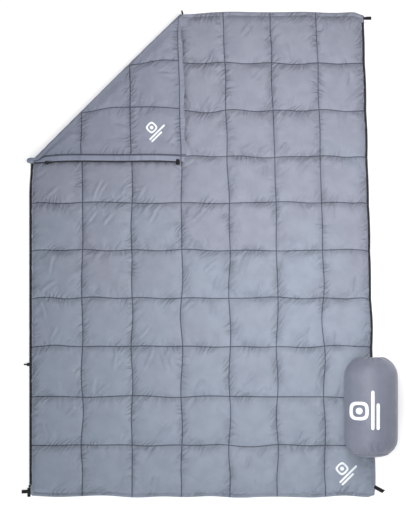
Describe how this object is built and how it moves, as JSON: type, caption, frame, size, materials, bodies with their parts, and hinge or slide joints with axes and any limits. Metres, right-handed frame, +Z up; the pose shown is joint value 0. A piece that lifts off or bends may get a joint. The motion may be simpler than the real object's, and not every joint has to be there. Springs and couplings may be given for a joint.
{
  "type": "camp quilt",
  "caption": "Rectangular quilted camp quilt with a zip down each long side, lying flat with one corner turned back, and its cylindrical drawcord stuff sack lying on its edge.",
  "frame": {"origin": "on the floor, at the middle of the quilt's flat underside", "axes": "+Z up, +Y to the head end, +X to the right-hand long side, which carries the stuff sack"},
  "size_m": [1.5461, 2.0075, 0.2265],
  "materials": {
    "shell_fabric": "smooth down-proof polyester with a soft sheen",
    "lining_fabric": "soft polyester taffeta",
    "batting": "white hollow-fibre wadding",
    "thread": "twisted polyester thread",
    "hem_fabric": "folded polyester hem",
    "zip_tape": "black woven tape",
    "zip_teeth": "black nylon",
    "slider_metal": "black enamel",
    "webbing": "black woven webbing",
    "sack_fabric": "smooth polyester with a soft sheen",
    "cord": "black braided cord",
    "lock_plastic": "satin black plastic",
    "spring_steel": "bright spring wire"
  },
  "bodies": {
    "right_panel": {"right_top_shell": "shell_fabric", "right_insulation": "batting", "right_lining": "lining_fabric", "right_quilting_thread": "thread", "right_head_hem": "hem_fabric", "right_foot_hem": "hem_fabric", "right_side_hem": "hem_fabric", "right_zip_tape": "zip_tape", "right_zip_teeth": "zip_teeth", "right_zip_top_stop": "slider_metal", "right_zip_insertion_pin": "slider_metal", "head_right_loop": "webbing", "foot_right_loop": "webbing", "head_fold_loop": "webbing"},
    "left_panel": {"left_top_shell": "shell_fabric", "left_insulation": "batting", "left_lining": "lining_fabric", "left_quilting_thread": "thread", "left_foot_hem": "hem_fabric", "left_side_hem": "hem_fabric", "left_zip_tape": "zip_tape", "left_zip_teeth": "zip_teeth", "left_zip_retainer_box": "slider_metal", "foot_zip_garage": "webbing", "foot_left_loop": "webbing"},
    "corner_flap": {"corner_top_shell": "shell_fabric", "corner_insulation": "batting", "corner_lining": "lining_fabric", "corner_quilting_thread": "thread", "corner_head_hem": "hem_fabric", "corner_side_hem": "hem_fabric", "corner_zip_tape": "zip_tape", "corner_zip_teeth": "zip_teeth", "corner_zip_top_stop": "slider_metal", "corner_zip_garage": "webbing"},
    "lower_slider": {"lower_slider_body": "slider_metal", "lower_slider_bail": "slider_metal"},
    "lower_pull": {"lower_slider_pull": "slider_metal"},
    "upper_slider": {"upper_slider_body": "slider_metal", "upper_slider_bail": "slider_metal"},
    "upper_pull": {"upper_slider_pull": "slider_metal"},
    "stuff_sack": {"sack_side_panel": "sack_fabric", "sack_base_panel": "sack_fabric", "sack_base_piping": "sack_fabric", "drawcord_channel": "sack_fabric", "drawcord": "cord", "cord_lock_body": "lock_plastic", "cord_lock_spring": "spring_steel", "packed_filling": "batting"},
    "lock_button": {"cord_lock_button": "lock_plastic"}
  },
  "joints": [
    {"name": "lengthwise_fold", "type": "hinge", "parent": "right_panel", "child": "left_panel", "pos_m": [-0.08, 0, 0.034], "axis": [0, 1, 0], "range_deg": [0, 179.8]},
    {"name": "corner_fold", "type": "hinge", "parent": "left_panel", "child": "corner_flap", "pos_m": [-0.6895, 0.394, 0.02015], "axis": [-0.7071, -0.7071, 0], "range_deg": [0, 179.8]},
    {"name": "lower_zip", "type": "slide", "parent": "left_panel", "child": "lower_slider", "axis": [0, 1, 0], "range_m": [-0.488, 0.822]},
    {"name": "lower_pull_swing", "type": "hinge", "parent": "lower_slider", "child": "lower_pull", "pos_m": [-0.7057, -0.4537, 0.0085], "axis": [0, 1, 0], "range_deg": [0, 185]},
    {"name": "upper_zip", "type": "slide", "parent": "corner_flap", "child": "upper_slider", "axis": [1, 0, 0], "range_m": [-0.048, 0.51]},
    {"name": "upper_pull_swing", "type": "hinge", "parent": "upper_slider", "child": "upper_pull", "pos_m": [-0.6295, 0.3778, 0.0436], "axis": [0, -1, 0], "range_deg": [0, 180]},
    {"name": "sack_lift", "type": "slide", "parent": "right_panel", "child": "stuff_sack", "axis": [0, 0, 1], "range_m": [0, 0.5]},
    {"name": "lock_press", "type": "slide", "parent": "stuff_sack", "child": "lock_button", "axis": [0, -1, 0], "range_m": [0, 0.004], "stiffness_N_per_m": 300, "springref_m": -0.004}
  ]
}
